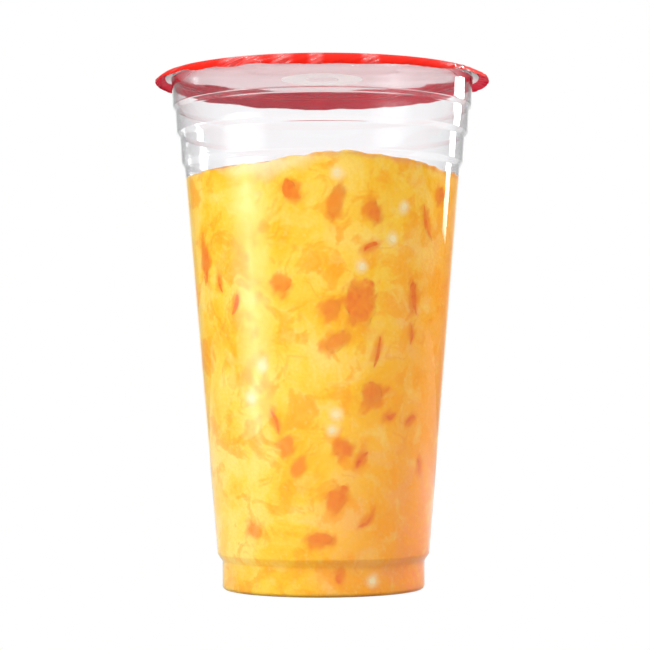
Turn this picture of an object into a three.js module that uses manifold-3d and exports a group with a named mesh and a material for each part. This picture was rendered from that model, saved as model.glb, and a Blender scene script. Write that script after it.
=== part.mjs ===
// A sealed cup of fruit slush: a clear moulded cup, the lidding film sealed over its rim,
// the frozen drink, and the fruit and ice that lie against the wall.
// Millimetres, +Z up. The origin is the centre of the foot's bottom plane, and -Y is the front.
import * as THREE from "three";
import { mergeVertices } from "three/addons/utils/BufferGeometryUtils.js";
import Module from "manifold-3d";

const wasm = await Module();
wasm.setup();

// Driving dimensions.
const SIDES = 48; // facets round the axis, the same on the cup and the drink
const WALL = 0.6; // the moulded wall
const GAP = 0.3; // left between the drink and the wall, and round each piece in it
const RIM_R = 47.5; // the flange of a 95 mm sealing cup
const RIM_TOP = 154;
const FLANGE = 0.8;
const FILM = 0.2;
const FILM_R = 50.45;
const FOOT_R = 30.3;
const FOOT_TOP = 8.4;
const SHOULDER_TOP = 10.9;
const WALL_LOW_R = 31.8;
const WALL_TOP = 126.2;
const WALL_TOP_R = 41.5;
const RECESS = 1.0; // of the base, above the foot ring
const EDGE = 123.2; // the drink's edge on the wall, where it is lowest
const HUMP = { height: 4, middle: 10, width: 39 }; // of that edge, in mm and degrees
const PEAK = 127.5; // of the drink's mound
const STRAIGHT_TOP = 118; // above this the drink's side follows its uneven edge
const BEDDED = 0.22; // share of a piece's thickness between its middle and the drink's skin
const SEAL_R = RIM_R + 0.45; // where the film leaves the flange
const SKIRT = { tuck: 1.3, drop: 1.15, hang: 1.35 }; // tuck and hang are at front and back
const CREASES = [[24, 0.34, 0], [16, 0.2, 1.1]]; // of the skirt: count, depth and turn
const CRUST = 0.3; // unevenness of the drink's top
const BUMP = 0.09; // share by which a piece of fruit swells and pinches round its side
const THINNEST = 2.2; // of the lumps

// Radius and height along the outside, from the base's middle to under the flange.
const BASE = [[0, RECESS], [26.6, RECESS], [27.9, 0]];
const SIDE = [
  [29.2, 0],
  [30, 0.35],
  [FOOT_R, 1.3],
  [FOOT_R, FOOT_TOP],
  [30.95, 9.5],
  [WALL_LOW_R, SHOULDER_TOP],
  [WALL_TOP_R, WALL_TOP],
  [41.95, 126.8],
  [42.4, 128.3],
  [42.95, 135.5],
  [43.45, 136],
  [43.9, 137.3],
  [44.35, 143.8],
  [44.75, 144.2],
  [45.1, 145],
  [45.45, 152],
];

// The pieces of fruit: degrees round from the front, height, width, length, lean to the
// right in degrees, and how much wider the upper end is than the lower.
const LUMPS = [
  [5, 112, 3.4, 11.5, 5, 0.45],
  [22, 110, 4.2, 7.2, -15, 0.2],
  [15.5, 85, 8.4, 14.2, 0, 0],
  [6, 73.6, 3.8, 8.8, 53, 0],
  [3.5, 82.6, 4.8, 6, 0, 0.2],
  [-18.5, 90, 5.8, 4.4, 0, 0],
  [24, 58, 6, 6.2, 0, 0.2],
  [-18, 44, 4.2, 5, 0, 0.3],
  [9, 43, 5.8, 5.2, 0, 0],
  [6, 28, 5.6, 7.4, 10, 0.3],
  [-1.5, 16.7, 4, 8.2, 88, 0],
  [-39, 19.5, 2.9, 3.9, -10, 0],
  [-62, 98, 4.6, 10.6, -6, -0.2],
  [-13, 37.4, 3, 4.8, 35, 0],
  [58, 116.4, 3.6, 4, 20, 0.4],
  [-12.5, 116, 4.2, 6.4, -42, 0.1],
  [104, 97, 6, 9, 20, 0],
  [150, 62, 7, 6, 0, 0.1],
  [-158, 105, 5, 9, -30, 0.2],
  [-118, 48, 6, 7, 15, 0],
  [177, 26, 5, 8, 60, 0],
];
const SHREDS = [
  [50, 108, 2.1, 10.6, -25, 0],
  [20, 100.2, 1.8, 6.6, 62, 0],
  [44.5, 86.5, 2.7, 11.6, -3, 0],
  [25.5, 71.4, 1.3, 9, 13, 0.3],
  [-51, 91, 1.3, 6.6, -11, 0],
  [-42, 84.5, 1.6, 6, 19, 0],
  [32.5, 52, 1.8, 4.2, 75, 0],
  [46.5, 51, 1.8, 5.4, 70, 0],
  [18.5, 39.4, 1.8, 6.2, 35, 0],
  [56, 37.5, 2, 4.8, -10, 0],
  [22, 21.8, 1.8, 6.4, 52, 0],
  [-23, 50.4, 1.3, 7.4, -18, 0],
  [9, 5.9, 1.9, 4, 5, 0.4],
  [44, 75.6, 1.3, 5.4, 0, 0],
  [130, 80, 1.8, 8, -20, 0],
  [-100, 74, 1.6, 9, 30, 0],
  [-143, 80, 1.6, 7, 50, 0],
];
const GRAINS = [
  [5.5, 121, 2.4],
  [36, 112, 2.5],
  [31, 102.8, 2.5],
  [17, 94.6, 2.4],
  [-28.5, 66.7, 2.6],
  [-35.5, 57.3, 2.6],
  [6, 52.6, 2.4],
  [4, 48.2, 2.1],
  [28, 4.6, 2.4],
];

// Moves each point of an outline square to it, into the wall.
function inset(points, depth) {
  return points.map(([r, z], i) => {
    const [r0, z0] = points[Math.max(i - 1, 0)];
    const [r1, z1] = points[Math.min(i + 1, points.length - 1)];
    const length = Math.hypot(r1 - r0, z1 - z0);
    return [r - (depth * (z1 - z0)) / length, z + (depth * (r1 - r0)) / length];
  });
}

// The radius of the wall's outside at a height.
function wallRadius(height) {
  const i = SIDE.findIndex(([, z]) => z > height);
  const [[r0, z0], [r1, z1]] = [SIDE[i - 1], SIDE[i]];
  return r0 + ((r1 - r0) * (height - z0)) / (z1 - z0);
}

// Turns a closed outline of radius and height round Z.
function turned(outline) {
  const points = outline.map(([r, z]) => new THREE.Vector2(r, z));
  return new THREE.LatheGeometry(points, SIDES).rotateX(Math.PI / 2);
}

// Joins rings of points, each round +Z as seen from above, into one closed skin. The first
// and last rings are single points.
function loft(rings) {
  const n = rings[1].length;
  const start = rings.map((ring, i) => (i ? 1 + (i - 1) * n : 0));
  const faces = [];
  for (let j = 0; j < n; j++) {
    const k = (j + 1) % n;
    faces.push(0, 1 + k, 1 + j);
    for (let i = 1; i < rings.length - 2; i++) {
      const [a, b] = [start[i], start[i + 1]];
      faces.push(a + j, a + k, b + k);
      faces.push(a + j, b + k, b + j);
    }
    const a = start[rings.length - 2];
    faces.push(a + j, a + k, start[rings.length - 1]);
  }
  const skin = new THREE.BufferGeometry();
  skin.setAttribute("position", new THREE.Float32BufferAttribute(rings.flat(2), 3));
  return skin.setIndex(faces);
}

function solid(geometry) {
  const bare = geometry.clone();
  bare.deleteAttribute("normal");
  bare.deleteAttribute("uv");
  const merged = mergeVertices(bare, 1e-4);
  const mesh = new wasm.Mesh({
    numProp: 3,
    vertProperties: merged.attributes.position.array,
    triVerts: new Uint32Array(merged.index.array),
  });
  return new wasm.Manifold(mesh);
}

function geometryOf(made) {
  const mesh = made.getMesh();
  const geometry = new THREE.BufferGeometry();
  geometry.setAttribute("position", new THREE.BufferAttribute(mesh.vertProperties, 3));
  return geometry.setIndex(new THREE.BufferAttribute(mesh.triVerts, 1));
}

function ring(count, point) {
  return Array.from({ length: count }, (_, j) => point((j / count) * 2 * Math.PI));
}

// One moulding: base with its gate mark, foot, shoulder, wall, three collars and flange.
function cupGeometry() {
  const gate = [[0, 0.4], [1.4, 0.4], [1.7, RECESS]];
  const flange = [
    [45.5, RIM_TOP - FLANGE],
    [RIM_R - 0.2, RIM_TOP - FLANGE],
    [RIM_R, RIM_TOP - FLANGE + 0.2],
    [RIM_R, RIM_TOP - 0.2],
    [RIM_R - 0.2, RIM_TOP],
    [45.4, RIM_TOP],
    [45, RIM_TOP - 0.5],
  ];
  const inside = inset([...BASE, ...SIDE], WALL).reverse();
  return turned([...gate, ...BASE.slice(1), ...SIDE, ...flange, ...inside]);
}

// The height of the drink's top, share of the way from the middle to the wall. Its edge has a
// hump a little right of the front, and the crust between edge and middle is uneven.
function drinkTop(share, turn) {
  const off = (((turn * 180) / Math.PI + 90 + 180 + 360) % 360) - 180;
  const edge = EDGE + HUMP.height * Math.exp(-(((off - HUMP.middle) / HUMP.width) ** 2));
  const crust = CRUST * Math.sin(5 * turn + 9 * share) * share * (1 - share) * 4;
  return edge + (PEAK - edge) * (1 - share ** 2.2) + crust;
}

function drinkGeometry() {
  const skin = inset([...BASE, ...SIDE], WALL + GAP).filter(([, z]) => z < STRAIGHT_TOP);
  const rings = skin.slice(1).map(([r, z]) => {
    return ring(SIDES, (a) => [r * Math.sin(a), r * Math.cos(a), z]);
  });
  rings.forEach((points) => points.reverse());
  for (const share of [1, 0.96, 0.86, 0.68, 0.44, 0.2]) {
    const points = ring(SIDES, (a) => {
      const turn = Math.PI / 2 - a;
      const atWall = Math.min(drinkTop(1, turn), WALL_TOP - 0.1);
      const r = (wallRadius(atWall) - WALL - GAP) * share;
      return [r * Math.cos(turn), r * Math.sin(turn), drinkTop(share, turn)];
    });
    rings.push(points.reverse());
  }
  return loft([[[0, 0, skin[0][1]]], ...rings, [[0, 0, PEAK]]]);
}

// A rounded piece, length along Z and thickness along Y. Grown on all sides it cuts its pocket.
function lump(width, length, thick, taper, sides, steps, grown) {
  const rings = [];
  for (let i = 1; i < steps; i++) {
    const along = -Math.cos((Math.PI * i) / steps);
    const fullness = Math.sin((Math.PI * i) / steps) ** 0.8 * (1 + taper * along);
    const half = [width / 2, thick / 2].map((size) => size * fullness + grown);
    rings.push(
      ring(sides, (a) => {
        const bump = 1 + BUMP * Math.sin(3 * a + 2 * along) * Math.min(1, width / 3);
        return [
          half[0] * bump * Math.cos(a),
          half[1] * Math.sin(a),
          (length / 2 + grown) * along,
        ];
      }),
    );
  }
  const end = length / 2 + grown;
  return loft([[[0, 0, -end]], ...rings, [[0, 0, end]]]);
}

// Sets a piece into the drink's side with part of it proud, for the trim.
function placed(geometry, [round, height, , , lean], thick) {
  const taper = Math.atan2(WALL_TOP_R - WALL_LOW_R, WALL_TOP - SHOULDER_TOP);
  const slope = height < SHOULDER_TOP ? 0 : taper;
  const radius = wallRadius(height) - WALL - GAP - BEDDED * thick;
  return geometry
    .rotateY(THREE.MathUtils.degToRad(lean || 0))
    .rotateX(slope)
    .translate(0, -radius, height)
    .rotateZ(THREE.MathUtils.degToRad(round));
}

// A disc sealed flat on the flange, then a skirt in creases past it, which stands out at the
// sides and hangs down more at the front and back.
function filmGeometry() {
  const at = (out, z) => {
    return ring(2 * SIDES, (a) => {
      const down = Math.sin(a) ** 2;
      const r = SEAL_R + out * (FILM_R - SEAL_R - SKIRT.tuck * down);
      const crease = CREASES.reduce((sum, [n, deep, on]) => sum + deep * Math.cos(n * a + on), 0);
      const drop = (SKIRT.drop + SKIRT.hang * down + crease) * out ** 1.2;
      return [r * Math.cos(a), r * Math.sin(a), z - drop];
    });
  };
  const steps = [0, 0.5, 1];
  const under = steps.map((out) => at(out, RIM_TOP));
  const over = steps.map((out) => at(out, RIM_TOP + FILM)).reverse();
  return loft([[[0, 0, RIM_TOP]], ...under, ...over, [[0, 0, RIM_TOP + FILM]]]);
}

const root = new THREE.Group();

function add(name, geometry, color, roughness) {
  const material = new THREE.MeshStandardMaterial({ color, roughness, metalness: 0 });
  const mesh = new THREE.Mesh(geometry, material);
  mesh.name = name;
  root.add(mesh);
}

const whole = solid(drinkGeometry());
let drink = whole;
const trimmed = [];

function bury(name, row, thick, sides, steps, color, roughness) {
  const shape = (grown) => {
    const made = lump(row[2], row[3], thick, row[5], sides, steps, grown);
    return solid(placed(made, row, thick));
  };
  drink = drink.subtract(shape(GAP));
  trimmed.push([name, shape(0).intersect(whole), color, roughness]);
}

const number = (i) => String(i + 1).padStart(2, "0");
LUMPS.forEach((row, i) => {
  bury("mango_lump_" + number(i), row, Math.max(THINNEST, 0.6 * row[2]), 7, 5, "#e8892a", 0.35);
});
SHREDS.forEach((row, i) => {
  bury("mango_shred_" + number(i), row, 1.1 * row[2], 5, 4, "#cf5a22", 0.4);
});
GRAINS.forEach(([round, height, size], i) => {
  const row = [round, height, size, size * 0.95, 0, 0];
  bury("ice_grain_" + number(i), row, size * 0.9, 5, 3, "#fff2d2", 0.25);
});

add("cup", cupGeometry(), "#f4f6f7", 0.08);
add("seal_film", filmGeometry(), "#d8301a", 0.25);
add("slush", geometryOf(drink), "#f7b52c", 0.45);
trimmed.forEach(([name, made, color, roughness]) => {
  add(name, geometryOf(made), color, roughness);
});

export default root;
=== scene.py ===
import math

import bpy
import numpy as np
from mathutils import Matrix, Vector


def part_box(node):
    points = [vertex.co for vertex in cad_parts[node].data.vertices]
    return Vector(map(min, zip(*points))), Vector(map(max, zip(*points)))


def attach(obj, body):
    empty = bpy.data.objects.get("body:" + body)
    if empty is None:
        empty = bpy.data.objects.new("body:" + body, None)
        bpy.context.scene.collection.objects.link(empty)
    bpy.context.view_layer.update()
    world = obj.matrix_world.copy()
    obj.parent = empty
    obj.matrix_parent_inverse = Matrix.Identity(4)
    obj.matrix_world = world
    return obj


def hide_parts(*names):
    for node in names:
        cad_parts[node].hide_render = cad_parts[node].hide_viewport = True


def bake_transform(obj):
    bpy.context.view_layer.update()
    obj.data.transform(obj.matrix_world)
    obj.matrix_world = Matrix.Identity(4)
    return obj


# A sealed cup of mango slush: a clear moulded cup, the red lidding film sealed over its rim,
# the frozen drink, and the fruit and ice that lie against the wall, with a small pale studio.
# Metres, +Z up, the front at -Y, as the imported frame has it.

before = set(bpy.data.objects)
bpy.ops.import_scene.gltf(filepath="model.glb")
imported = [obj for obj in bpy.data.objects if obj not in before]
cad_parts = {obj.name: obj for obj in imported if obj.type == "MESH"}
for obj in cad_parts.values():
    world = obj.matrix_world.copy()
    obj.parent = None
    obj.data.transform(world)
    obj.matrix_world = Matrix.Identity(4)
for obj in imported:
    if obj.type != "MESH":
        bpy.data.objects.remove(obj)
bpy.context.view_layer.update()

MM = 0.001
BLACK, WHITE = (0, 0, 0, 1), (1, 1, 1, 1)
WALL = 0.6 * MM
WETTING = 0.05 * MM  # how far the drink sinks into the wall's inside, so that no air is left
RIM_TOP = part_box("cup")[1][2]
FLANGE_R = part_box("cup")[1][0]
FILM_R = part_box("seal_film")[1][0]
MOUND_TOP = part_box("slush")[1][2]
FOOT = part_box("cup")[0][2]

EDGE = 123.2 * MM  # the drink's edge on the wall, where it is lowest
HUMP = (4.0 * MM, 10, 39)  # of that edge: its height, then its middle and width in degrees
PEAK = min(MOUND_TOP, 127.5 * MM)  # of the drink's mound
STEADY_TOP = 110.0  # mm: above this the drink's side follows its uneven edge
SET_IN = 0.35  # share of a piece's half thickness that its middle lies behind the wall

# The cup's outside in mm: radius, height and the radius of the corner's round.
GATE_MARK = [(0, 0.4, 0), (1.4, 0.4, 0.25), (1.8, 1.0, 0.3)]
OUTSIDE = [
    (26.6, 1.0, 0.9),
    (27.9, 0, 0.4),
    (30.3, 0, 1.3),
    (30.35, 8.5, 1.0),
    (31.8, 10.7, 1.3),
    (41.5, 126.2, 1.1),
    (42.45, 127.9, 1.2),
    (42.95, 135.4, 1.1),
    (43.95, 137.0, 1.2),
    (44.3, 143.6, 0.9),
    (45.1, 145.0, 1.0),
    (45.5, 153.2, 0.3),
]
FLANGE = [(47.5, 153.2, 0.3), (47.5, 154.0, 0.3)]
WALL_FROM = 28.5  # mm: inside this radius the cup's inside is its floor
INNER = [(0, GATE_MARK[-1][1], 0)] + OUTSIDE  # the same without the gate mark's dimple

FILM = 0.1 * MM
SEAL_R = FLANGE_R + 0.1 * MM  # where the film leaves the flange
SAG = 0.45 * MM  # how far the film's middle lies below its seal
TAUT_R = 44.5 * MM  # inside this radius the film is taut and glossy
DISC_R, CORE_R = 12.3 * MM, 4.9 * MM  # of the spots printed on the film

# Crumpled places on the film's skirt: degrees right of the front, half width and strength.
CRUMPLED = [
    (-28, 6, 1.7),
    (-13, 3, 1.2),
    (-2, 2, 1.5),
    (16, 2.5, 1.2),
    (52, 8, 0.9),
    (88, 8, 1.2),
    (-88, 9, 1.2),
    (-60, 5, 0.5),
    (125, 14, 0.9),
    (-140, 20, 0.9),
]


# ---------------------------------------------------------------- shapes

def srgb(red, green, blue):
    """A screen colour of 0 to 255 a channel as the linear colour that shaders take."""
    return tuple(
        c / 12.92 if c <= 0.04045 else ((c + 0.055) / 1.055) ** 2.4
        for c in (red / 255, green / 255, blue / 255)
    ) + (1.0,)


def smooth_step(x, low, high):
    """0 below low, 1 above high, and an S curve between them."""
    t = np.clip((x - low) / (high - low), 0, 1)
    return t * t * (3 - 2 * t)


def ripple(points, size, seed, octaves=3):
    """Uneven noise of about -1 to 1 at each point: in each octave ten sine waves run in
    chance directions with chance phases and are averaged, and each octave is twice as fine
    and half as strong as the one before. size is the length of the longest wave."""
    chance = np.random.default_rng(seed)
    total = np.zeros(points.shape[:-1])
    for octave in range(octaves):
        ways = chance.normal(size=(10, 3))
        ways /= np.linalg.norm(ways, axis=1, keepdims=True)
        turns = points @ ways.T * (2 * math.pi * 2**octave / size)
        total += np.sin(turns + chance.uniform(0, 2 * math.pi, 10)).sum(axis=-1) * 0.5**octave
    return total / 4.5


def skin(name, rings):
    """One closed surface through an array of rings of points. The first and last rings are
    single points, which close the ends. Every ring runs anticlockwise as seen from the last
    ring's side, so the faces point outwards."""
    count, around = rings.shape[:2]
    points = np.vstack([rings[0, :1], rings[1:-1].reshape(-1, 3), rings[-1, :1]])
    here = np.arange(around)
    after = (here + 1) % around
    row = np.arange(count - 3)[:, None] * around + 1
    bands = np.stack([row + here, row + after, row + around + after, row + around + here], -1)
    end = 1 + (count - 3) * around
    first = np.stack([np.zeros_like(here), 1 + after, 1 + here], -1)
    last = np.stack([end + here, end + after, np.full_like(here, len(points) - 1)], -1)
    faces = first.tolist() + bands.reshape(-1, 4).tolist() + last.tolist()
    mesh = bpy.data.meshes.new(name)
    mesh.from_pydata(points.tolist(), [], faces)
    mesh.shade_smooth()
    piece = bpy.data.objects.new(name, mesh)
    bpy.context.scene.collection.objects.link(piece)
    return piece


def rounded(corners, steps=6):
    """An outline through corners of radius, height and round: each corner becomes an arc
    that touches both of its sides, swung evenly from one to the other."""
    corners = np.array(corners, float)
    path = [corners[0, :2]]
    for before, corner, after in zip(corners, corners[1:], corners[2:]):
        p, size = corner[:2], corner[2]
        a, b = before[:2] - p, after[:2] - p
        la, lb = np.linalg.norm(a), np.linalg.norm(b)
        a, b = a / la, b / lb
        half = math.acos(np.clip(a @ b, -1, 1)) / 2
        if size <= 0 or half > math.radians(89.9):
            path.append(p)
            continue
        reach = min(size / math.tan(half), 0.49 * la, 0.49 * lb)
        size = reach * math.tan(half)
        centre = p + (a + b) / np.linalg.norm(a + b) * size / math.sin(half)
        start, end = p + a * reach - centre, p + b * reach - centre
        swing = math.pi - 2 * half
        for t in np.linspace(0, 1, steps + 1):
            pull = math.sin((1 - t) * swing) * start + math.sin(t * swing) * end
            path.append(centre + pull / math.sin(swing))
    path.append(corners[-1, :2])
    return np.array(path)


def evenly(path, gap):
    """The outline with points added along its straight stretches, at most gap apart."""
    parts = []
    for a, b in zip(path, path[1:]):
        count = max(1, math.ceil(np.linalg.norm(b - a) / gap))
        parts.append(a + (b - a) * (np.arange(count) / count)[:, None])
    return np.vstack(parts + [path[-1:]])


def moved_in(corners, depth):
    """The corners of an outline moved square to its sides by depth, into the wall. Each
    corner goes along the mitre of its two sides, and its round grows or shrinks to suit."""
    corners = np.array(corners, float)
    ways = np.diff(corners[:, :2], axis=0)
    ways /= np.linalg.norm(ways, axis=1, keepdims=True)
    normals = np.stack([-ways[:, 1], ways[:, 0]], 1)
    before = np.vstack([normals[:1], normals])
    after = np.vstack([normals, normals[-1:]])
    mitre = (before + after) / (1 + (before * after).sum(1, keepdims=True))
    turn = before[:, 0] * after[:, 1] - before[:, 1] * after[:, 0]
    rounds = np.maximum(corners[:, 2] - np.sign(turn) * depth, 0.15)
    return np.column_stack([corners[:, :2] + mitre * depth, rounds])


def all_round(sides):
    """The angles of that many sides round Z."""
    return np.arange(sides) * 2 * math.pi / sides


def right_of_front(angle):
    """An angle round Z as degrees to the right of the front."""
    return (np.degrees(angle) + 90 + 180) % 360 - 180


def round_z(angle, r, z):
    """The points at each angle round Z, of that radius and height."""
    x, y = r * np.cos(angle), r * np.sin(angle)
    return np.stack([x, y, z + 0 * x], -1)


def turned(outline, sides):
    """Rings of an outline of radius and height, in mm, carried round Z."""
    return round_z(all_round(sides), outline[:, :1] * MM, outline[:, 1:] * MM)


# The line from the middle of the cup's floor up its inside that the drink wets.
WET = evenly(rounded(moved_in(INNER, (WALL - WETTING) / MM)), 0.9)
WALL_LINE = WET[np.argmax(WET[:, 0] > WALL_FROM) :]


def wall_radius(z):
    """The radius of the wetted wall at a height, in metres."""
    return np.interp(z, WALL_LINE[:, 1] * MM, WALL_LINE[:, 0] * MM)


# ---------------------------------------------------------------- shader helpers

def join(tree, source, target):
    """A link from one socket to another."""
    tree.links.new(source, target)


def give(tree, value, socket):
    """The value on the socket: linked when it is a socket itself, and set when it is fixed."""
    if isinstance(value, bpy.types.NodeSocket):
        join(tree, value, socket)
    else:
        socket.default_value = value


def add(tree, kind, **values):
    """A node of that kind, its named inputs linked or set."""
    node = tree.nodes.new("ShaderNode" + kind)
    for name, value in values.items():
        give(tree, value, node.inputs[name.replace("_", " ").title().replace("Ior", "IOR")])
    return node


def new_material(name):
    """An empty node material with its output."""
    material = bpy.data.materials.new(name)
    material.use_nodes = True
    tree = material.node_tree
    tree.nodes.clear()
    return material, tree, tree.nodes.new("ShaderNodeOutputMaterial")


def ramp(tree, source, stops):
    """A colour ramp over a value, its stops given as position and colour."""
    node = add(tree, "ValToRGB", fac=source)
    while len(node.color_ramp.elements) < len(stops):
        node.color_ramp.elements.new(0.5)
    for element, (position, colour) in zip(node.color_ramp.elements, stops):
        element.position = position
        element.color = colour
    return node.outputs["Color"]


def blend_colour(tree, share, low, high, kind="MIX"):
    """Two colours mixed by a value. Each may be a socket or a fixed colour."""
    node = add(tree, "Mix")
    node.data_type = "RGBA"
    node.blend_type = kind
    for value, socket in ((share, node.inputs[0]), (low, node.inputs[6]), (high, node.inputs[7])):
        give(tree, value, socket)
    return node.outputs[2]


def maths(tree, kind, first, second=0.5, clamp=False):
    """One sum of one or two values. Each may be a socket or a fixed number."""
    node = add(tree, "Math")
    node.operation = kind
    node.use_clamp = clamp
    give(tree, first, node.inputs[0])
    give(tree, second, node.inputs[1])
    return node.outputs[0]


def attribute(tree, name):
    """A value written on the piece's vertices."""
    node = add(tree, "Attribute")
    node.attribute_name = name
    return node.outputs["Fac"]


def grey(level):
    """A linear grey of that level."""
    return (level, level, level, 1)


def place(tree):
    """The place of the point on the piece, in metres."""
    return add(tree, "TexCoord").outputs["Object"]


def noise(tree, where, scale, detail=3.0, roughness=0.55, distortion=0.0):
    """Uneven noise of 0 to 1, about 0.5 on average, with scale swells to the metre."""
    node = add(
        tree, "TexNoise", vector=where, scale=scale, detail=detail, roughness=roughness,
        distortion=distortion)
    return node.outputs[0]


def group_of(name, given, made):
    """An empty shader group and its two end nodes. given and made are its sockets, each a
    name with its kind, Float or Color."""
    tree = bpy.data.node_groups.new(name, "ShaderNodeTree")
    for way, sockets in (("INPUT", given), ("OUTPUT", made)):
        for label, kind in sockets.items():
            tree.interface.new_socket(label, in_out=way, socket_type="NodeSocket" + kind)
    return tree, tree.nodes.new("NodeGroupInput"), tree.nodes.new("NodeGroupOutput")


def frozen_grain():
    """Fine ice: cells of the grain's size with soft borders, over finer speckle. Tone is
    about 0.5 on average, and Height rises in the middle of each grain."""
    tree, given, out = group_of(
        "frozen_grain", {"Grains": "Float"}, {"Tone": "Float", "Height": "Float"})
    where = place(tree)
    cells = add(tree, "TexVoronoi", vector=where, scale=given.outputs["Grains"])
    finer = maths(tree, "MULTIPLY", given.outputs["Grains"], 1.4)
    middle = maths(tree, "SUBTRACT", 0.85, cells.outputs["Distance"])
    join(tree, middle, out.inputs["Height"])
    tone = maths(tree, "MULTIPLY", middle, noise(tree, where, finer, roughness=0.5))
    join(tree, maths(tree, "ADD", maths(tree, "MULTIPLY", tone, 0.9), 0.3), out.inputs["Tone"])
    return tree


GRAIN = frozen_grain()


def use_group(tree, group, **values):
    """The group as a node, its named inputs linked or set."""
    node = add(tree, "Group")
    node.node_tree = group
    for name, value in values.items():
        give(tree, value, node.inputs[name.title()])
    return node


def bumped(tree, height, strength, distance):
    """The surface normal tilted by a height."""
    node = add(tree, "Bump", strength=strength, distance=distance, height=height)
    return node.outputs["Normal"]


def choose_shader(tree, rays, usual, special, out):
    """The usual shader on the output, but the special one for that kind of rays."""
    mix = add(tree, "MixShader", fac=add(tree, "LightPath").outputs[rays])
    join(tree, usual.outputs[0], mix.inputs[1])
    join(tree, special.outputs[0], mix.inputs[2])
    join(tree, mix.outputs[0], out.inputs["Surface"])


# ---------------------------------------------------------------- finishes

def clear_plastic():
    """Thin clear polypropylene with faint flow waves from moulding. Lamps shine through it."""
    material, tree, out = new_material("clear_plastic")
    waves = noise(tree, place(tree), 70.0, detail=1.5)
    body = add(
        tree, "BsdfPrincipled", base_color=srgb(253, 253, 254), roughness=0.03, ior=1.49,
        transmission_weight=1.0, normal=bumped(tree, waves, 0.25, 0.3 * MM))
    choose_shader(tree, "Is Shadow Ray", body, add(tree, "BsdfTransparent"), out)
    return material


def printed_film():
    """Printed lidding film: its ink with a faint mottle, a round spot in the middle and a
    smaller one in that. Each vertex keeps its own distance from the film's middle, so the
    print stays in place when the film is peeled. Taut is 1 over the middle and 0 on the sealed
    margin and the skirt. Height is the pull in its skin, which is never quite flat."""
    tree, given, out = group_of(
        "printed_film",
        {"Ink": "Color", "Disc": "Color", "Core": "Color"},
        {"Colour": "Color", "Taut": "Float", "Height": "Float"},
    )
    where = place(tree)
    ring = attribute(tree, "ring")
    in_disc = maths(tree, "LESS_THAN", ring, DISC_R)
    in_core = maths(tree, "LESS_THAN", ring, CORE_R)
    spot = blend_colour(tree, in_disc, given.outputs["Ink"], given.outputs["Disc"])
    spot = blend_colour(tree, in_core, spot, given.outputs["Core"])
    mottle = noise(tree, where, 260.0, detail=4.0)
    shade = ramp(tree, mottle, [(0.3, (0.9, 0.9, 0.9, 1)), (0.7, WHITE)])
    join(tree, blend_colour(tree, 1.0, spot, shade, "MULTIPLY"), out.inputs["Colour"])
    taut = maths(tree, "MULTIPLY", maths(tree, "SUBTRACT", TAUT_R, ring), 180.0, clamp=True)
    join(tree, taut, out.inputs["Taut"])
    join(tree, noise(tree, where, 160.0, detail=3.0), out.inputs["Height"])
    return tree


PRINTED_FILM = printed_film()


def film_face(name, ink, disc, core, shine):
    """One face of the film. shine says where it is glossy: Taut for its middle, or the name
    of an attribute. Elsewhere it is duller."""
    material, tree, out = new_material(name)
    film = use_group(tree, PRINTED_FILM, ink=ink, disc=disc, core=core)
    glossy = film.outputs["Taut"] if shine == "Taut" else attribute(tree, shine)
    dull = maths(tree, "MULTIPLY", maths(tree, "SUBTRACT", 1.0, glossy), 0.45)
    body = add(
        tree, "BsdfPrincipled", ior=1.22, coat_roughness=0.03, coat_ior=1.7,
        coat_weight=glossy, roughness=maths(tree, "ADD", dull, 0.1),
        base_color=film.outputs["Colour"],
        normal=bumped(tree, film.outputs["Height"], 0.25, 0.15 * MM))
    join(tree, body.outputs[0], out.inputs["Surface"])
    return material


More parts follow.
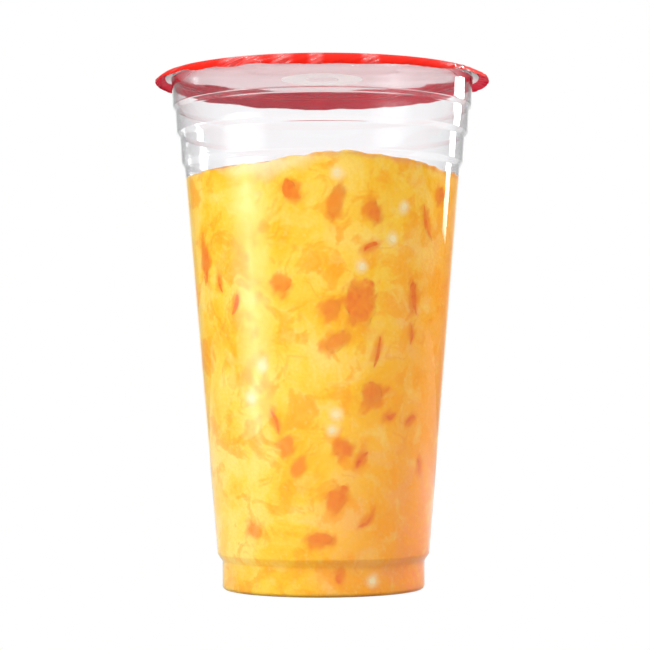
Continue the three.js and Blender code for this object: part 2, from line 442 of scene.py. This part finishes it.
def mango_ice():
    """The frozen drink's colour and grain: yellow to amber in soft patches, clots of deeper
    pulp, thin broken fibres, fine pale ice and small air bubbles, and painted shade that
    turns it deeper orange to the right and towards the bottom. Stain turns it orange, Frost
    turns it pale as frosty ice and as a painted highlight at the left of the front, and Rim
    is the darker line along its upper edge."""
    tree, given, out = group_of(
        "mango_ice",
        {"Stain": "Float", "Frost_And_Highlight": "Float", "Rim": "Float"},
        {"Colour": "Color", "Height": "Float"},
    )
    where = place(tree)
    patches = noise(tree, where, 62.0, detail=5.0, roughness=0.6, distortion=0.5)
    colour = ramp(tree, patches, [
        (0.28, srgb(250, 174, 6)),
        (0.39, srgb(253, 200, 34)),
        (0.51, srgb(254, 214, 74)),
        (0.64, srgb(255, 223, 118)),
    ])
    parts = add(tree, "SeparateXYZ", vector=where)
    # Painted shade: deeper orange towards the right side and towards the bottom, its border made
    # uneven by the patches.
    drift = maths(tree, "MULTIPLY", patches, 0.8)
    painted_shade = maths(tree, "SUBTRACT", -0.1, maths(tree, "MULTIPLY", parts.outputs["Z"], 7.0))
    painted_shade = maths(tree, "ADD", painted_shade, maths(tree, "MULTIPLY", parts.outputs["X"], 22.5))
    painted_shade = maths(tree, "MULTIPLY", maths(tree, "ADD", painted_shade, drift), 0.8, clamp=True)
    colour = blend_colour(tree, painted_shade, colour, srgb(248, 124, 8))
    pulp = noise(tree, where, 118.0, detail=4.0, roughness=0.55, distortion=0.8)
    clots = ramp(tree, pulp, [(0.52, BLACK), (0.57, grey(0.6)), (0.66, WHITE)])
    colour = blend_colour(tree, maths(tree, "MULTIPLY", clots, 0.7), colour, srgb(250, 170, 0))
    milky = noise(tree, where, 96.0, detail=3.0, roughness=0.5, distortion=0.6)
    pale = ramp(tree, milky, [(0.30, grey(0.6)), (0.44, BLACK)])
    colour = blend_colour(tree, pale, colour, srgb(255, 222, 116))
    strand = noise(tree, where, 120.0, detail=1.0, roughness=0.4, distortion=0.5)
    line = maths(tree, "ABSOLUTE", maths(tree, "SUBTRACT", strand, 0.5))
    line = ramp(tree, line, [(0.0, WHITE), (0.03, BLACK)])
    broken = ramp(tree, noise(tree, where, 95.0, detail=1.0), [(0.57, BLACK), (0.63, WHITE)])
    line = maths(tree, "MULTIPLY", maths(tree, "MULTIPLY", line, broken), 0.22)
    colour = blend_colour(tree, line, colour, srgb(232, 118, 18))
    grain = use_group(tree, GRAIN, grains=1000.0)
    speck = ramp(tree, grain.outputs["Tone"], [
        (0.30, (0.94, 0.88, 0.6, 1)),
        (0.55, (1, 1, 1, 1)),
    ])
    colour = blend_colour(tree, 0.45, colour, speck, "MULTIPLY")
    crystals = noise(tree, where, 700.0, detail=2.0)
    pale = ramp(tree, crystals, [(0.58, BLACK), (0.76, WHITE)])
    colour = blend_colour(tree, maths(tree, "MULTIPLY", pale, 0.3), colour, srgb(255, 226, 130))
    soft = maths(tree, "MULTIPLY", given.outputs["Stain"], 0.75, clamp=True)
    colour = blend_colour(tree, soft, colour, srgb(240, 136, 20))
    colour = blend_colour(tree, given.outputs["Rim"], colour, srgb(226, 120, 22))
    # Pale where frosty, and pale as a painted highlight at the left of the front.
    icy_and_highlight = maths(tree, "MULTIPLY", given.outputs["Frost_And_Highlight"], 0.8, clamp=True)
    colour = blend_colour(tree, icy_and_highlight, colour, srgb(255, 232, 186))
    join(tree, colour, out.inputs["Colour"])
    join(tree, grain.outputs["Height"], out.inputs["Height"])
    return tree


MANGO_ICE = mango_ice()


def frozen_drink(tree):
    """The drink's colour and grain with what its pieces left on it."""
    left = {name: attribute(tree, name) for name in ("stain", "frost_and_highlight", "rim")}
    return use_group(tree, MANGO_ICE, **left)


def slush_finish():
    """Frozen mango, slightly see-through, darker in a thin line along its upper edge at the wall.
    """
    material, tree, out = new_material("mango_slush")
    drink = frozen_drink(tree)
    body = add(
        tree, "BsdfPrincipled", roughness=0.45, ior=1.1, subsurface_weight=0.35,
        subsurface_radius=(1.0, 0.5, 0.12), subsurface_scale=1.0 * MM,
        base_color=drink.outputs["Colour"],
        normal=bumped(tree, drink.outputs["Height"], 0.5, 0.12 * MM))
    join(tree, body.outputs[0], out.inputs["Surface"])
    return material


def fruit_flesh():
    """Fruit flesh: fibres run through it in bands of deep and light, with a frosty bloom.
    Where the veil is full, at the border, the frozen drink covers it raggedly."""
    tree, given, out = group_of(
        "fruit_flesh",
        {"Deep": "Color", "Light": "Color", "Drink": "Color", "Veil": "Float"},
        {"Colour": "Color", "Height": "Float"},
    )
    where = place(tree)
    flesh = noise(tree, where, 260.0, detail=4.0, roughness=0.6, distortion=1.4)
    fibres = ramp(tree, flesh, [(0.32, BLACK), (0.68, WHITE)])
    colour = blend_colour(tree, fibres, given.outputs["Deep"], given.outputs["Light"])
    grain = use_group(tree, GRAIN, grains=1300.0)
    bloom = ramp(tree, grain.outputs["Tone"], [(0.5, BLACK), (0.8, grey(0.2))])
    colour = blend_colour(tree, bloom, colour, srgb(250, 176, 60))
    cover = maths(tree, "SUBTRACT", noise(tree, where, 480.0, detail=4.0), 0.5)
    cover = maths(tree, "ADD", given.outputs["Veil"], maths(tree, "MULTIPLY", cover, 1.8))
    veil = ramp(tree, cover, [(0.1, BLACK), (0.9, WHITE)])
    colour = blend_colour(tree, veil, colour, given.outputs["Drink"])
    join(tree, colour, out.inputs["Colour"])
    join(tree, flesh, out.inputs["Height"])
    return tree


FRUIT_FLESH = fruit_flesh()


def fruit_finish(name, deep, light, scatter):
    """Wet fruit that the frozen drink covers at its border."""
    material, tree, out = new_material(name)
    fruit = use_group(
        tree, FRUIT_FLESH, deep=deep, light=light,
        drink=frozen_drink(tree).outputs["Colour"], veil=attribute(tree, "veil"))
    body = add(
        tree, "BsdfPrincipled", roughness=0.4, ior=1.2, subsurface_weight=0.3,
        subsurface_radius=(1.0, 0.35, 0.08), subsurface_scale=scatter,
        base_color=fruit.outputs["Colour"],
        normal=bumped(tree, fruit.outputs["Height"], 0.4, 0.15 * MM))
    join(tree, body.outputs[0], out.inputs["Surface"])
    return material


def ice_finish():
    """A pale frosty grain that the drink has tinted and half covers."""
    material, tree, out = new_material("frosty_ice")
    grain = use_group(tree, GRAIN, grains=1100.0)
    colour = ramp(tree, grain.outputs["Tone"], [
        (0.3, srgb(255, 230, 168)),
        (0.7, srgb(255, 240, 205)),
    ])
    drink = frozen_drink(tree)
    colour = blend_colour(tree, attribute(tree, "veil"), colour, drink.outputs["Colour"])
    body = add(
        tree, "BsdfPrincipled", roughness=0.35, ior=1.31, subsurface_weight=0.5,
        subsurface_radius=(1.0, 0.8, 0.5), subsurface_scale=1.5 * MM, base_color=colour,
        normal=bumped(tree, grain.outputs["Height"], 0.4, 0.1 * MM))
    join(tree, body.outputs[0], out.inputs["Surface"])
    return material


# ---------------------------------------------------------------- pieces

def make_cup():
    """One wall of even thickness turned round Z: down from the base's middle, up the foot,
    shoulder, wall and collars, over the flange, and back down the inside."""
    inside = moved_in(INNER, WALL / MM)[::-1]
    inside[0] = (inside[0, 0], FLANGE[-1][1], 0.4)
    outline = evenly(rounded(GATE_MARK + OUTSIDE + FLANGE + inside.tolist()), 2.2)
    cup = skin("clear_cup", turned(outline, 240))
    cup.data.materials.append(clear_plastic())
    return cup


def contact_height(angle):
    """The height of the drink's edge round the wall: a low hump centred a little right of the
    front, with a froth of small uneven waves."""
    height, middle, width = HUMP
    hump = EDGE + height * np.exp(-(((right_of_front(angle) - middle) / width) ** 2))
    return hump + 0.42 * MM * ripple(round_z(angle, 0.041, 0), 0.009, 3, 5)


def make_slush():
    """The drink fills the wetted inside up to the contact line, then its top rises to the
    mound: edge height at the wall, the mound's height in the middle, and a crust between."""
    sides = 440
    angle = all_round(sides)
    low = WET[WET[:, 1] < STEADY_TOP]
    fill = turned(low, sides)
    edge = contact_height(angle)
    share = np.linspace(0, 1, 26)[:, None]
    z = low[-1, 1] * MM + (edge - low[-1, 1] * MM) * share[1:]
    upper = round_z(angle, wall_radius(z), z)
    inward = (1 - np.linspace(0, 1, 46) ** 1.3)[1:, None]
    top = round_z(angle, wall_radius(edge) * inward, 0)
    crust = ripple(top, 0.016, 11, 4) * 0.4 * MM * np.minimum(1, 6 * (1 - inward) + 0.1)
    top[..., 2] = edge + (PEAK - edge) * (1 - inward**2.2) + crust * (inward > 0)
    slush = skin("mango_slush", np.vstack([fill, upper, top]))
    slush.data.materials.append(slush_finish())
    return slush


class Bedded:
    """Where a piece lies against the wall, from its CAD node: the middle, the directions out
    of the wall, across and along the piece, and its half sizes in those directions."""

    def __init__(self, name):
        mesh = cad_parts[name].data
        points = np.empty(len(mesh.vertices) * 3)
        mesh.vertices.foreach_get("co", points)
        points = np.unique(points.reshape(-1, 3).round(6), axis=0)
        middle = (points.min(0) + points.max(0)) / 2
        slope = wall_radius(middle[2] + 2 * MM) - wall_radius(middle[2] - 2 * MM)
        out = np.array([middle[0], middle[1], 0]) / np.hypot(*middle[:2])
        self.out = (out - np.array([0, 0, slope / (4 * MM)])) / math.hypot(1, slope / (4 * MM))
        side = np.cross([0, 0, 1], out)
        up = np.cross(self.out, side)
        flat = np.stack([(points - middle) @ side, (points - middle) @ up], 1)
        _, ways = np.linalg.eigh(np.cov(flat.T))
        self.across = ways[0, 0] * side + ways[1, 0] * up
        self.along = np.cross(self.out, self.across)
        self.half = [
            float(np.ptp((points - middle) @ way)) / 2
            for way in (self.out, self.across, self.along)
        ]
        radius = wall_radius(middle[2]) - SET_IN * self.half[0]
        self.middle = middle + out * (radius - np.hypot(*middle[:2]))


def points_of(piece):
    """The places of a piece's vertices, one row for each."""
    points = np.empty(len(piece.data.vertices) * 3)
    piece.data.vertices.foreach_get("co", points)
    return points.reshape(-1, 3)


def against_wall(points, proud):
    """The points with none further out than the wetted wall, plus proud."""
    r = np.hypot(points[..., 0], points[..., 1])
    pull = np.minimum(1, (wall_radius(points[..., 2]) + proud) / r)
    points[..., :2] *= pull[..., None]
    return points


def make_fruit(name, seed, lumpy, bend, hidden, steps, sides):
    """An uneven spindle: the half width follows the sine of the way along it, and noise
    swells and pinches it. A bend swings its middle to one side. The side that meets the wall
    is pressed flat against it. The veil attribute is 1 at the border of the pressed part and
    everywhere behind it, and lowest where it was pressed hardest: 0, or up to hidden for a
    piece that the drink half covers."""
    bed = Bedded(name)
    way = np.linspace(0, math.pi, steps)[:, None]
    turn = all_round(sides)
    fullness = np.sin(way) ** 0.75
    depth, width, length = bed.half
    unit = round_z(turn, fullness, -np.cos(way))
    swell = 1 + lumpy * ripple(unit, 2.2, seed, 4)[..., None]
    unit = unit * swell
    sway = bend * width * (np.sin(way) ** 2 - 0.5) * (1 if seed % 2 else -1)
    points = (
        bed.middle
        + unit[..., :1] * depth * bed.out
        + (unit[..., 1:2] * width + sway[..., None]) * bed.across
        + unit[..., 2:] * length * bed.along
    )
    points[0], points[-1] = points[0].mean(0), points[-1].mean(0)
    pressed = np.hypot(points[..., 0], points[..., 1]) - wall_radius(points[..., 2])
    bare = 1 - hidden * np.random.default_rng(seed).uniform()
    veil = 1 - bare * smooth_step(pressed, 0, 0.7 * pressed.max())
    piece = skin(name + "_piece", against_wall(points, 0.03 * MM))
    write_attribute(piece, "veil", by_vertex(veil))
    return piece, bed


def soak(points, beds, reach, rough):
    """How strongly each point is touched by the pieces: 1 at a piece and 0 at reach past its
    edge."""
    uneven = 1 + rough * ripple(points, 0.005, 17, 3)
    most = np.zeros(len(points))
    for bed in beds:
        off = points - bed.middle
        near = np.abs(off @ bed.out) < 4 * MM
        across = (off @ bed.across) / (bed.half[1] + reach)
        along = (off @ bed.along) / (bed.half[2] + reach)
        far = np.hypot(across, along) * uneven
        inner = bed.half[1] / (bed.half[1] + reach)
        most = np.maximum(most, near * (1 - smooth_step(far, 0.8 * inner, 1.0)))
    return most


def by_vertex(rings):
    """Rings of values as one value for each vertex of a skin."""
    return np.hstack([rings[0, :1], rings[1:-1].ravel(), rings[-1, :1]])


def write_attribute(piece, name, values):
    """A value for each vertex, kept on the piece under that name."""
    layer = piece.data.attributes.new(name, "FLOAT", "POINT")
    layer.data.foreach_set("value", values.astype(np.float32))


def edge_frost_and_painted_highlight(points):
    """Frosty paleness along the drink's upper edge, and a painted highlight, the left softbox's
    reflection, that makes it thickest at the left of the front.
    """
    angle = np.arctan2(points[:, 1], points[:, 0])
    off = right_of_front(angle)
    below = contact_height(angle) - points[:, 2]
    uneven = ripple(points, 0.008, 23, 4)
    # Painted highlight: the left softbox's reflection, which makes the paleness reach deeper and
    # stronger around 20 degrees left of the front.
    deep = (2.2 + 5.0 * np.exp(-(((off + 20) / 16) ** 2))) * MM
    edge = 1 - smooth_step(below + 1.2 * MM * uneven, 0, deep)
    left = np.exp(-(((off + 20) / 18) ** 2))
    return np.clip(edge * (0.3 + 0.75 * left + 0.3 * uneven), 0, 1)


def dark_rim_line(points):
    """The thin darker line along the contact edge, stronger to the right of the front."""
    angle = np.arctan2(points[:, 1], points[:, 0])
    off = right_of_front(angle)
    below = contact_height(angle) - points[:, 2]
    uneven = ripple(points, 0.007, 29, 3)
    right = smooth_step(off, -15, 30)
    wide = (0.7 + 1.0 * right + 0.5 * uneven) * MM
    return (1 - smooth_step(below, 0.2 * wide, wide)) * (0.25 + 0.25 * right + 0.2 * uneven)


def facets(along_edge, down, seed, widths):
    """Crumple of flat facets: triangle waves of the given widths that cross in chance
    slanting directions. About -1 to 1."""
    chance = np.random.default_rng(seed)
    total = 0
    for width in widths:
        slant = chance.uniform(0.5, 1.2) * chance.choice([-1, 1])
        wave = (along_edge * math.cos(slant) + down * math.sin(slant)) / width + chance.uniform()
        total = total + np.abs((wave % 1) * 4 - 2) - 1
    return total / len(widths)


def make_film():
    """The lidding film: a disc that sags very slightly, with faint long wrinkles, then a skirt
    that goes out past the flange and turns down, further at the front and back. The skirt is
    smooth but for a few crumpled places."""
    sides = 960
    angle = all_round(sides)
    off = right_of_front(angle)
    disc = np.linspace(0, 1, 24)[:, None]
    flat = round_z(angle, disc, 0) * SEAL_R
    free = 1 - smooth_step(disc, 0.90, 0.97)
    wrinkle = ripple(flat * [0.35, 1, 1], 0.026, 47, 2) * 0.05 * MM
    flat[..., 2] = (wrinkle - SAG * (1 - disc**2)) * free
    along = np.linspace(0, 1, 17)[1:, None]
    hang = np.sin(angle) ** 2
    ring = round_z(angle, SEAL_R, 0)
    cut = (3.5 + 0.7 * hang + 0.3 * ripple(ring, 0.012, 31, 4)) * MM
    droop = 14 + along**1.1 * (42 + 40 * hang) + 7 * ripple(ring, 0.02, 37, 2)
    swing = np.radians(np.minimum(droop, 92))
    step = cut * np.diff(np.vstack([0 * along[:1], along]), axis=0)
    r = SEAL_R + np.cumsum(step * np.cos(swing), axis=0)
    z = -np.cumsum(step * np.sin(swing), axis=0)
    crumpled = 0.16 + 0 * off
    for middle, width, strength in CRUMPLED:
        gap = (off - middle + 180) % 360 - 180
        crumpled = crumpled + strength * np.exp(-((gap / width) ** 2))
    fold = facets(angle * SEAL_R, along * cut, 41, (1.5 * MM, 2.3 * MM, 3.5 * MM))
    fold = fold * crumpled * 0.4 * MM * np.minimum(1, along * 2.2)
    r = np.minimum(r + fold * np.sin(swing), FILM_R - FILM)
    z = z + fold * np.cos(swing)
    under = np.vstack([flat, round_z(angle, r, z)])
    under[..., 2] += RIM_TOP + 0.01 * MM
    upward = np.zeros_like(flat) + [0, 0, 1]
    outward = round_z(angle, np.sin(swing), np.cos(swing))
    over = (under + FILM * np.vstack([upward, outward]))[::-1]
    film = skin("lidding_film", np.vstack([under, over]))
    worn = np.vstack([0 * disc + 0 * angle, 0 * along + np.clip(1.3 * crumpled - 0.4, 0, 1)])
    write_attribute(film, "crumpled", by_vertex(np.vstack([worn, worn[::-1]])))
    ring = np.vstack([disc * SEAL_R + 0 * angle, SEAL_R + np.cumsum(step, axis=0)])
    write_attribute(film, "ring", by_vertex(np.vstack([ring, ring[::-1]])))
    film.data.materials.append(film_face(
        "film_outside", srgb(226, 24, 0), srgb(246, 240, 240), srgb(232, 110, 120), "crumpled"))
    film.data.materials.append(film_face(
        "film_inside", srgb(238, 26, 66), srgb(250, 240, 244), srgb(236, 130, 150), "Taut"))
    inner = (np.arange(len(film.data.polygons)) < len(film.data.polygons) // 2).astype(np.int32)
    film.data.polygons.foreach_set("material_index", inner)
    return film


# ---------------------------------------------------------------- studio

def make_camera():
    """A long lens a little above the cup's lower third, tilted up slightly."""
    data = bpy.data.cameras.new("camera")
    data.lens = 117.0
    data.sensor_width = 36.0
    data.clip_start = 0.01
    camera = bpy.data.objects.new("camera", data)
    camera.location = (0.6 * MM, -0.6372, 0.0599)
    camera.rotation_euler = (math.radians(91.73), math.radians(0.18), 0)
    bpy.context.scene.collection.objects.link(camera)
    bpy.context.scene.camera = camera


def softbox(name, where, towards, size, power, soft=(0, 0)):
    """A rectangular lamp that faces a point. soft says how strongly its light fades from its
    middle to its sides, and from its middle to its top and bottom."""
    data = bpy.data.lights.new(name, "AREA")
    data.shape = "RECTANGLE"
    data.size, data.size_y = size
    data.energy = power
    lamp = bpy.data.objects.new(name, data)
    way = np.array(towards) - np.array(where)
    flat = math.hypot(way[0], way[1])
    lamp.location = where
    lamp.rotation_euler = (math.atan2(flat, -way[2]), 0, math.atan2(-way[0], way[1]))
    lamp.visible_camera = False
    bpy.context.scene.collection.objects.link(lamp)
    data.use_nodes = True
    tree = data.node_tree
    spot = add(tree, "NewGeometry").outputs["Parametric"]
    parts = add(tree, "SeparateXYZ", vector=spot)
    strength = 1.0
    for axis, steepness in zip("XY", soft):
        side = maths(tree, "ABSOLUTE", maths(tree, "SUBTRACT", parts.outputs[axis], 0.5))
        fade = maths(tree, "SUBTRACT", 1.0, maths(tree, "MULTIPLY", side, 2.0), clamp=True)
        strength = maths(tree, "MULTIPLY", strength, maths(tree, "POWER", fade, steepness))
    join(tree, strength, tree.nodes["Emission"].inputs["Strength"])
    return lamp


def make_world():
    """A narrow white sheet behind the cup, dark sides, and a bright ceiling in front. Seen
    straight it is plain white."""
    world = bpy.data.worlds.new("studio")
    bpy.context.scene.world = world
    world.use_nodes = True
    tree = world.node_tree
    tree.nodes.clear()
    parts = add(tree, "SeparateXYZ", vector=add(tree, "TexCoord").outputs["Generated"])
    behind = maths(tree, "ADD", maths(tree, "MULTIPLY", parts.outputs["Y"], 0.5), 0.5)
    height = maths(tree, "ADD", maths(tree, "MULTIPLY", parts.outputs["Z"], 0.5), 0.5)
    rear = ramp(tree, behind, [
        (0.50, grey(0.38)),
        (0.80, grey(0.26)),
        (0.93, grey(0.28)),
        (0.965, grey(0.5)),
        (0.985, grey(1.03)),
    ])
    front = ramp(tree, height, [(0.53, grey(0.58)), (0.64, grey(1.42))])
    half = ramp(tree, behind, [(0.42, BLACK), (0.56, WHITE)])
    sweep = blend_colour(tree, half, front, rear)
    rays = add(tree, "LightPath")
    seen = blend_colour(tree, rays.outputs["Is Camera Ray"], sweep, WHITE)
    back = add(tree, "Background", color=seen, strength=1.0)
    join(tree, back.outputs[0], add(tree, "OutputWorld").inputs["Surface"])


def make_floor():
    """A plain pale floor, lit by the studio. Seen straight it is as white as the backdrop."""
    left, right, front, back = -1.2, 1.2, -1.2, 0.8
    level = FOOT - 0.05 * MM
    mesh = bpy.data.meshes.new("floor")
    corners = [(left, front), (right, front), (right, back), (left, back)]
    mesh.from_pydata([(x, y, level) for x, y in corners], [], [(0, 1, 2, 3)])
    floor = bpy.data.objects.new("floor", mesh)
    bpy.context.scene.collection.objects.link(floor)
    material, tree, out = new_material("pale_floor")
    body = add(tree, "BsdfPrincipled", base_color=grey(0.6), roughness=0.9)
    choose_shader(tree, "Is Camera Ray", body, add(tree, "Emission", color=WHITE), out)
    floor.data.materials.append(material)


def make_lights():
    """A wide softbox at the front left, a strip and a small card behind at the right, a large
    one overhead, and two small hard ones up in front that catch in the film's creases."""
    softbox("left_softbox", (-0.29, -0.15, 0.04), (0, 0, 0.07), (0.27, 0.22), 0.9, soft=(1.1, 0.2))
    softbox("left_glint", (-0.35, -0.29, 0.69), (0, 0, 0.15), (0.06, 0.36), 0.6)
    softbox("right_glint", (0.22, -0.38, 0.69), (0, 0, 0.15), (0.06, 0.36), 0.6)
    softbox("right_strip", (0.34, 0.25, 0.27), (0, 0, 0.16), (0.07, 0.34), 0.95, soft=(0, 0.35))
    softbox("right_card", (0.36, 0.25, 0.196), (0, 0, 0.15), (0.13, 0.036), 0.18)
    softbox("overhead", (0, 0.1, 0.9), (0, 0, 0), (1.2, 1.2), 5.0)


# ---------------------------------------------------------------- assembly

bpy.context.scene.view_settings.view_transform = "Standard"
make_camera()
make_world()
make_floor()
make_lights()

cup_piece = make_cup()
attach(cup_piece, "cup")
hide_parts("cup")

slush_piece = make_slush()
lump_finish = fruit_finish("mango_flesh", srgb(236, 120, 14), srgb(246, 154, 28), 1.2 * MM)
shred_finish = fruit_finish("mango_fibre", srgb(232, 104, 14), srgb(242, 138, 24), 0.7 * MM)
grain_finish = ice_finish()

# Each kind's slot, finish and shape: lumpiness, bend, how far hidden, steps and sides.
kinds = {
    "mango_lump": ("fruit_lump", lump_finish, (0.34, 0.3, 0.85, 40, 52)),
    "mango_shred": ("fruit_shred", shred_finish, (0.3, 1.1, 0.3, 48, 32)),
    "ice_grain": ("ice", grain_finish, (0.18, 0.0, 0.0, 24, 28)),
}
fruit_beds, ice_beds, wet_pieces = [], [], []
for number, node_name in enumerate(sorted(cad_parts)):
    kind = node_name.rpartition("_")[0]
    if kind not in kinds:
        continue
    slot, finish, shape = kinds[kind]
    piece, bed = make_fruit(node_name, number, *shape)
    piece.data.materials.append(finish)
    beds = ice_beds if kind == "ice_grain" else fruit_beds
    beds.append(bed)
    wet_pieces.append(piece)
    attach(piece, "cup")
    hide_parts(node_name)

for piece in wet_pieces + [slush_piece]:
    points = points_of(piece)
    # Frosty paleness round the ice grains and along the upper edge, with the painted highlight at
    # the left of the front.
    frost_and_highlight = np.maximum(0.8 * soak(points, ice_beds, 1.8 * MM, 0.15), edge_frost_and_painted_highlight(points))
    write_attribute(piece, "stain", soak(points, fruit_beds, 1.6 * MM, 0.3))
    write_attribute(piece, "frost_and_highlight", frost_and_highlight)
    write_attribute(piece, "rim", dark_rim_line(points))
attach(slush_piece, "cup")
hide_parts("slush")

film_piece = make_film()
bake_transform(film_piece)
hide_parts("seal_film")
